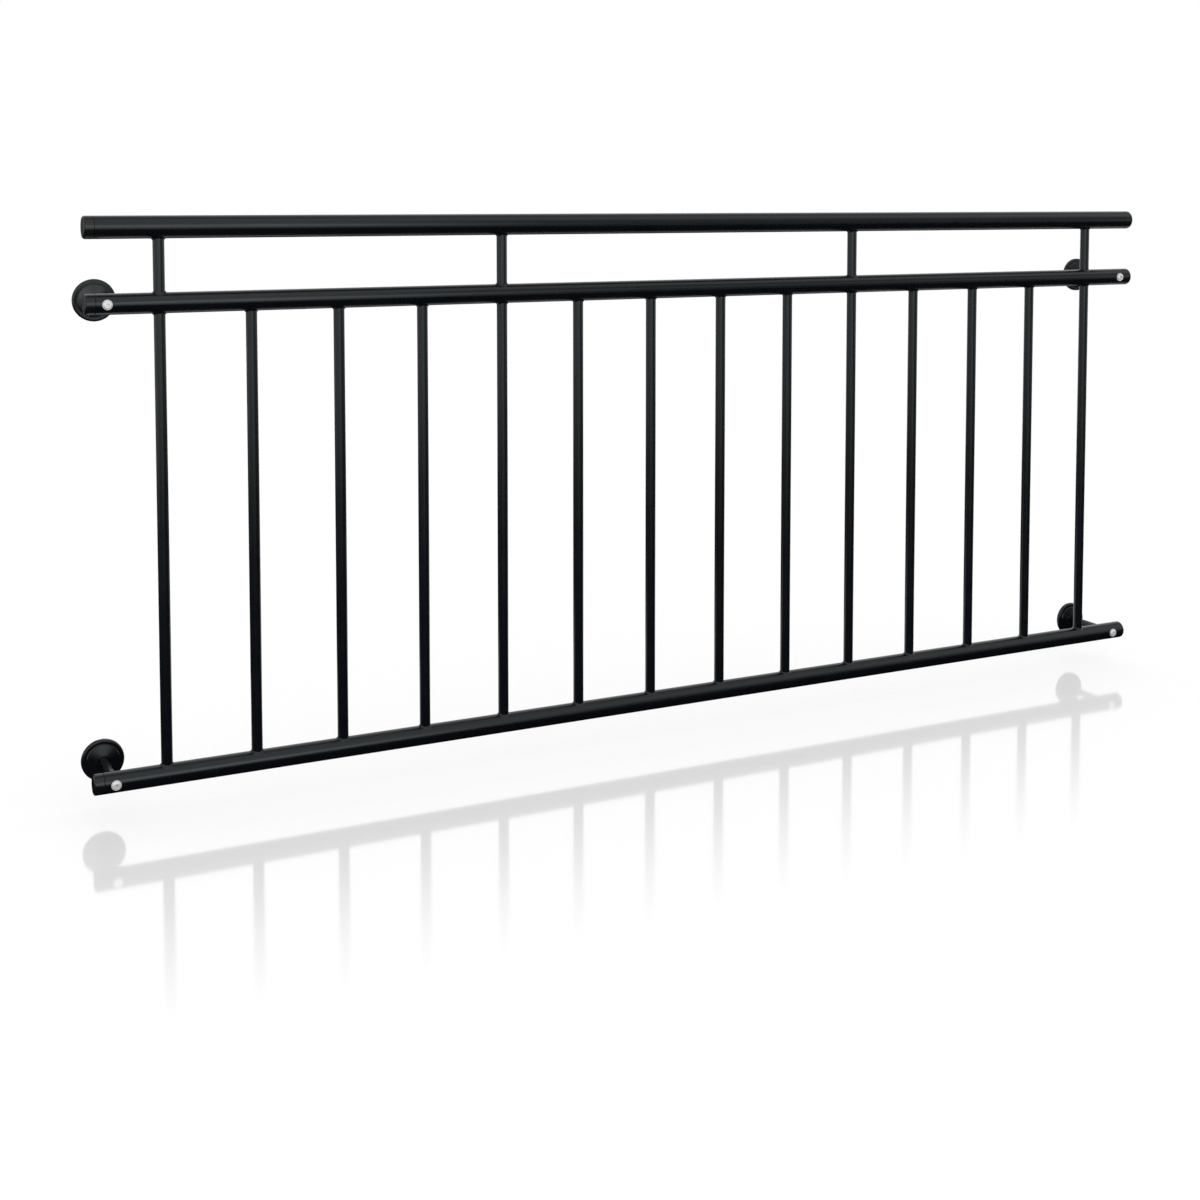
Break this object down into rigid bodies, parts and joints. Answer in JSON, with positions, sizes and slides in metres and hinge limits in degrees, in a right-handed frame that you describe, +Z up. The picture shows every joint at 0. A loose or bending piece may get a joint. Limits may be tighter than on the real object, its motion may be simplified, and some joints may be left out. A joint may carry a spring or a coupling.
{
  "type": "juliet balcony railing",
  "caption": "Wide black steel railing for a tall window or balcony door: round handrail, two rails, upright bars between them, and stems with round wall flanges.",
  "frame": {"origin": "centre of the lower left wall plate's back face, on the wall", "axes": "+X along the rails to the right as seen from outside, +Y towards the wall, +Z up"},
  "size_m": [2.102, 0.1365, 0.9175],
  "materials": {
    "black_powder_coat": "black satin gloss powder coat on steel",
    "black_plastic": "moulded black plastic end caps",
    "stainless_screw": "bright stainless steel"
  },
  "bodies": {
    "root": {"handrail": "black_powder_coat", "upper_rail": "black_powder_coat", "lower_rail": "black_powder_coat", "post_1": "black_powder_coat", "post_2": "black_powder_coat", "post_3": "black_powder_coat", "post_4": "black_powder_coat", "baluster_01": "black_powder_coat", "baluster_02": "black_powder_coat", "baluster_03": "black_powder_coat", "baluster_04": "black_powder_coat", "baluster_05": "black_powder_coat", "baluster_06": "black_powder_coat", "baluster_07": "black_powder_coat", "baluster_08": "black_powder_coat", "baluster_09": "black_powder_coat", "baluster_10": "black_powder_coat", "wall_plate_lower_left": "black_powder_coat", "wall_plate_lower_right": "black_powder_coat", "wall_plate_upper_left": "black_powder_coat", "wall_plate_upper_right": "black_powder_coat", "bracket_stem_lower_left": "black_powder_coat", "bracket_stem_lower_right": "black_powder_coat", "bracket_stem_upper_left": "black_powder_coat", "bracket_stem_upper_right": "black_powder_coat", "cover_rosette_lower_left": "black_powder_coat", "cover_rosette_lower_right": "black_powder_coat", "cover_rosette_upper_left": "black_powder_coat", "cover_rosette_upper_right": "black_powder_coat", "handrail_cap_left": "black_plastic", "handrail_cap_right": "black_plastic", "upper_rail_cap_left": "black_plastic", "upper_rail_cap_right": "black_plastic", "lower_rail_cap_left": "black_plastic", "lower_rail_cap_right": "black_plastic", "bracket_screw_lower_left": "stainless_screw", "bracket_screw_lower_right": "stainless_screw", "bracket_screw_upper_left": "stainless_screw", "bracket_screw_upper_right": "stainless_screw"}
  },
  "joints": []
}
